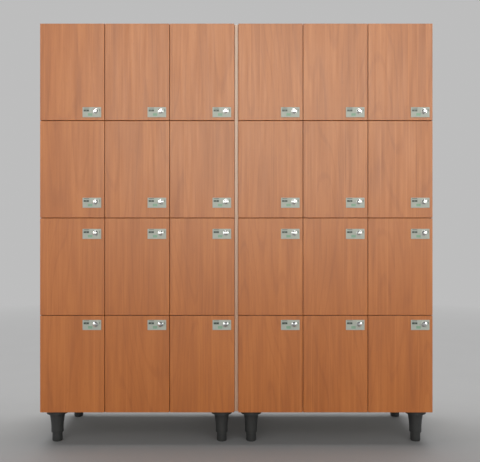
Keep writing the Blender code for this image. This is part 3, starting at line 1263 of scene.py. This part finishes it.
    def knob(self) -> Shape:
        """The chrome knob: a collar, a cone and a small flat nose with a keyway painted dark inside as
        painted shade.
        """
        tip = self.at.hinge.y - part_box(self.at.key)[0].y
        base = self.leaf_face - self.face + 0.3 * MM
        rim, nose, crown = self.knob_rim, self.knob_nose, self.knob_crown
        shoulder = tip - self.knob_cone
        profile = [(nose * s, tip - crown * s**2) for s in (0, 0.35, 0.7)]
        for share in (0.04, 0.08, 0.3, 0.5, 0.7, 0.92, 0.96):
            swell = crown * math.sin(share * math.pi)
            radius = nose + (rim - nose) * share
            profile.append((radius, tip + (shoulder - tip) * share + swell))
        profile += [
            (rim - 0.1 * MM, shoulder - 0.2 * MM),
            (rim, shoulder - 0.6 * MM),
            (rim, base + 0.4 * MM),
            (rim - 0.4 * MM, base),
            (0, base),
        ]
        made = Shape.turned(profile, (self.at.knob.x, self.at.hinge.y, self.at.knob.z), Axis.Y, 64)
        half, reach = self.keyway
        low = (self.at.knob.x - half, 0, self.at.knob.z - reach)
        high = (self.at.knob.x + half, 0, self.at.knob.z + reach)
        made.sink(Axis.Y, -1, low, high, self.keyway_depth, 0.05 * MM)
        # The keyway's walls and floor take the dark case finish: painted shade that stands for the
        # depth of the slot.
        front = self.at.hinge.y - tip
        for face in made.bm.faces:
            middle = face.calc_center_median() - Vector((self.at.knob.x, front, self.at.knob.z))
            inside = abs(middle.x) <= half and abs(middle.z) <= reach
            if inside and crown < middle.y <= self.keyway_depth + crown:
                face.material_index = 1
        return made

    def case(self) -> Shape:
        """The case behind the door, with the neck that goes through the leaf."""
        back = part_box(self.at.door)[1].y
        leaf_back = self.leaf_face + self.leaf
        middle = (self.top + self.bottom) / 2
        right, half = self.right - self.case_from_right, self.case_height / 2
        low = (right - self.case_width, leaf_back + SEAT, middle - half)
        high = (right, back, middle + half)
        made = Shape.block(low, high, self.case_edge, 2)
        neck_low, neck_high = self.opening()
        gap, inset = self.neck_gap, self.case_screw_inset
        made.join(
            Shape.block(
                (neck_low[0] + gap, self.leaf_face + self.neck_depth, neck_low[2] + gap),
                (neck_high[0] - gap, leaf_back + SEAT, neck_high[2] - gap),
            )
        )
        for x in (low[0] + inset, high[0] - inset):
            for z in (low[2] + inset, high[2] - inset):
                head = screw_head((x, back - 2 * SEAT, z), Axis.Y, -1, self.case_screw)
                made.join(head.paint(1))
        return made

    def cam(self) -> Shape:
        """The plug through the case, the cam on its end and the nut that holds it."""
        x, z = self.at.knob.x, self.at.knob.z
        low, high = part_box(self.at.key)
        front, end = self.leaf_face - 2 * MM, high.y - 1.5 * MM
        made = Shape.rod(self.plug, (x, end, z), end - front, Axis.Y, 32)
        reach = (high.z - z) if self.at.cam_up else (z - low.z)
        bar_low = (-self.cam_half, high.y - self.cam_front, -self.cam_tail)
        bar_high = (self.cam_half, high.y - self.cam_back, reach)
        bar = Shape.slab(bar_low, bar_high, Axis.Y, 4.5 * MM, 0.4 * MM, 5)
        if not self.at.cam_up:
            bar.flipped(Axis.Z)
        nut = Shape.rod(self.nut, (0, high.y, 0), self.nut_height, Axis.Y, 6, 0.3 * MM)
        return made.join(bar.moved((x, 0, z)), nut.moved((x, 0, z)))


@dataclass
class Leg:
    """An adjustable plastic leg.

    Attributes:
        node: The CAD node that it stands for.
    """

    node: str
    flange: float = 49 * MM
    flange_round: float = 1.5 * MM
    flange_bottom: float = 130.5 * MM
    sleeve: float = 28.3 * MM
    sleeve_top: float = 35.5 * MM
    sleeve_bottom: float = 41 * MM
    flare_bottom: float = 66 * MM
    flare_top: float = 128 * MM
    flare_steps: int = 12
    sleeve_round: float = 3 * MM
    hole_depth: float = 6 * MM
    foot: float = 23.5 * MM
    foot_gap: float = 0.6 * MM
    foot_overlap: float = 5 * MM
    foot_round: float = 2 * MM
    pad: float = 3 * MM
    pad_inset: float = 2.2 * MM

    def __post_init__(self) -> None:
        low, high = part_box(self.node)
        self.start = ((low.x + high.x) / 2, (low.y + high.y) / 2, 0.0)
        self.top = high.z

    def build(self) -> None:
        """Builds the leg's pieces."""
        name = self.node.removeprefix("leg_")
        add_piece(f"leg_sleeve_{name}", self.body(), [Look.LEG], "root", [self.node])
        add_piece(f"leg_foot_{name}", self.adjuster(), [Look.LEG], "root")
        add_piece(f"leg_pad_{name}", self.sole(), [Look.PAD], "root")

    def body(self) -> Shape:
        """The flange and the flared sleeve under it."""
        r = self.flange_round
        profile = [
            (0, self.top),
            (self.flange - r, self.top),
            (self.flange, self.top - r),
            (self.flange, self.flange_bottom + r),
            (self.flange - 0.4 * r, self.flange_bottom + 0.4 * r),
            (self.flange - 1.4 * r, self.flange_bottom),
            (self.sleeve_top + 2 * r, self.flare_top + 0.6 * r),
        ]
        for step in range(self.flare_steps + 1):
            share = 1 - step / self.flare_steps
            radius = self.sleeve + (self.sleeve_top - self.sleeve) * share**1.5
            profile.append((radius, self.flare_bottom + share * (self.flare_top - self.flare_bottom)))
        turn = (self.sleeve - self.sleeve_round, self.sleeve_bottom + self.sleeve_round)
        profile += arc(turn, self.sleeve_round, 0, -90, 4)
        hole, roof = self.foot + self.foot_gap, self.sleeve_bottom + self.hole_depth
        profile += [(hole, self.sleeve_bottom), (hole, roof), (0, roof)]
        return Shape.turned(profile, self.start, Axis.Z, 64)

    def adjuster(self) -> Shape:
        """The foot that screws in and out of the sleeve."""
        top = self.sleeve_bottom + self.foot_overlap
        turn = (self.foot - self.foot_round, self.pad + self.foot_round)
        profile = [(0, top), (self.foot, top), *arc(turn, self.foot_round, 0, -90, 3), (0, self.pad)]
        return Shape.turned(profile, self.start, Axis.Z, 64)

    def sole(self) -> Shape:
        """The soft pad under the foot."""
        radius, top, edge = self.foot - self.pad_inset, self.pad + 0.5 * MM, 0.6 * MM
        profile = [(0, top), (radius, top), (radius, edge), (radius - edge, 0), (0, 0)]
        return Shape.turned(profile, self.start, Axis.Z, 64)


@dataclass
class FillerStrip:
    """A strip in the joint between the banks.

    Attributes:
        node: The CAD node that it stands for.
    """

    node: str

    def build(self) -> None:
        """Builds the strip."""
        low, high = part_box(self.node)
        look = Look.STRIP if low.y < 0 else Look.REAR_STRIP
        shape = Shape.block(low, high, 0.8 * MM, 2)
        add_piece(f"{self.node}_board", shape, [look], "root", [self.node])


@dataclass
class Studio:
    """The floor, the backdrop, the lights and the camera.

    Attributes:
        camera_x: The camera's place to the right of the middle.
        camera_distance: Its distance in front of the doors.
        camera_height: Its height.
        lens: Its lens in millimetres, on a 36 mm wide sensor.
        front_tint: Colour of the front light.
        room: The room's brightness from front (0) to back (1).
        floor_tone: The floor's colour.
        glow: Brightness of the backdrop.
        fade: Distances between which the floor turns into the backdrop.
    """

    camera_x: float = 0.017
    camera_distance: float = 2.909
    camera_height: float = 0.990
    lens: float = 47.23
    front_tint: Point = (0.96, 1.0, 0.86)
    room: Sequence[tuple[float, float]] = ((0.05, 1.0), (0.275, 0.18), (0.45, 0.16), (0.6, 0.34))
    floor_tone: Point = (0.485, 0.485, 0.485)
    glow: float = 0.51
    fade: tuple[float, float] = (1.5, 6.0)
    floor_radius: float = 8.0
    wall_radius: float = 14.0
    wall_curve: float = 3.0
    wall_height: float = 12.0

    def build(self) -> None:
        """Builds the studio."""
        self.add_camera()
        self.add_floor()
        self.add_world()
        self.add_light("overhead", (0.0, 1.3, 6.0), (0.0, 1.3, 0.0), (6.6, 4.0), 280)
        left = self.add_light("left_side", (-3.0, -0.65, 1.6), (0.0, -0.3, 1.2), (1.3, 2.2), 24)
        right = self.add_light("right_side", (3.0, -0.65, 1.6), (0.0, -0.3, 1.2), (1.3, 2.2), 24)
        front = self.add_light("front_high", (0.5, -5.2, 2.7), (0.0, -0.2, 1.1), (5.4, 3.4), 194)
        front.data.color = self.front_tint
        for light in (left, right, front):
            self.keep_off_floor(light)

    def add_camera(self) -> None:
        """The camera, level and square to the doors."""
        camera = bpy.data.objects.new("camera", bpy.data.cameras.new("camera"))
        camera.data.sensor_width = 36.0
        camera.data.lens = self.lens
        door_face = frame["joints"][0]["pos_m"][1]
        camera.location = (self.camera_x, door_face - self.camera_distance, self.camera_height)
        camera.rotation_euler = (math.radians(90), 0, 0)
        bpy.context.scene.collection.objects.link(camera)
        bpy.context.scene.camera = camera

    def add_floor(self) -> None:
        """A pale floor and, beyond it, a backdrop that only the camera sees."""
        paper = Paper("studio_paper", 0.85, self.floor_tone, self.glow, *self.fade).build()
        floor = self._ring("studio_floor", [(0.0, 0.0), (self.floor_radius, 0.0)], paper)
        turn = (self.wall_radius - self.wall_curve, self.wall_curve)
        profile = [(self.floor_radius, 0.0), *arc(turn, self.wall_curve, -90, 0, 12)]
        profile.append((self.wall_radius, self.wall_height))
        backdrop = self._ring("studio_backdrop", profile, paper)
        backdrop.visible_diffuse = False
        backdrop.visible_glossy = False
        backdrop.visible_shadow = False

    @staticmethod
    def _ring(
        name: str, profile: Sequence[tuple[float, float]], material: bpy.types.Material
    ) -> bpy.types.Object:
        """A surface turned about the upright axis from (radius, height) points."""
        mesh = Shape.turned(profile, (0, 0, 0), Axis.Z, 96).mesh(name)
        mesh.shade_smooth()
        mesh.materials.append(material)
        made = bpy.data.objects.new(name, mesh)
        bpy.context.scene.collection.objects.link(made)
        return made

    def add_world(self) -> None:
        """Light from the room, which is brighter in front of the doors."""
        world = bpy.data.worlds.new("studio_room")
        world.use_nodes = True
        tree = world.node_tree
        background = tree.nodes["Background"]
        direction = tree.nodes.new("ShaderNodeTexCoord")
        apart = tree.nodes.new("ShaderNodeSeparateXYZ")
        share = tree.nodes.new("ShaderNodeMapRange")
        share.inputs[1].default_value = -1.0
        ramp = tree.nodes.new("ShaderNodeValToRGB")
        Graph.set_stops(ramp.color_ramp, [(at, (level,) * 3) for at, level in self.room])
        tree.links.new(direction.outputs["Generated"], apart.inputs[0])
        tree.links.new(apart.outputs["Y"], share.inputs[0])
        tree.links.new(share.outputs[0], ramp.inputs[0])
        tree.links.new(ramp.outputs[0], background.inputs["Color"])
        bpy.context.scene.world = world
        bpy.context.scene.view_settings.view_transform = "Standard"

    @staticmethod
    def keep_off_floor(light: bpy.types.Object) -> None:
        """Shades a light from the floor, as a flag below it does in a studio."""
        shaded = bpy.data.collections.new("flagged")
        shaded.objects.link(bpy.data.objects["studio_floor"])
        light.light_linking.receiver_collection = shaded
        shaded.collection_objects[0].light_linking.link_state = "EXCLUDE"

    def add_light(
        self, name: str, place: Point, aim: Point, size: Point, power: float
    ) -> bpy.types.Object:
        """A soft rectangular light.

        Args:
            name: Its name.
            place: Where it is.
            aim: The point that it looks at.
            size: Its width and height.
            power: Its power in watts.

        Returns:
            The light.
        """
        data = bpy.data.lights.new(name, "AREA")
        data.shape = "RECTANGLE"
        data.size, data.size_y = size
        data.energy = power
        light = bpy.data.objects.new(name, data)
        light.location = place
        direction = Vector(aim) - Vector(place)
        light.rotation_euler = direction.to_track_quat("-Z", "Y").to_euler()
        light.visible_camera = False
        bpy.context.scene.collection.objects.link(light)
        return light


def main() -> None:
    """Builds the studio and every sub-assembly."""
    logging.basicConfig(level=logging.INFO, format="%(name)s: %(message)s")
    Studio().build()
    doors = [Layout(number) for number in range(1, 25)]
    for bank, members in (("left", doors[:12]), ("right", doors[12:])):
        Carcass(bank, members).build()
    for at in doors:
        lock = CoinLock(at)
        Door(at).build(lock)
        lock.build()
    for node in sorted(frame["nodes"]):
        if node.startswith("leg_"):
            Leg(node).build()
        elif node.endswith("filler_strip"):
            FillerStrip(node).build()


if __name__ == "__main__":
    main()
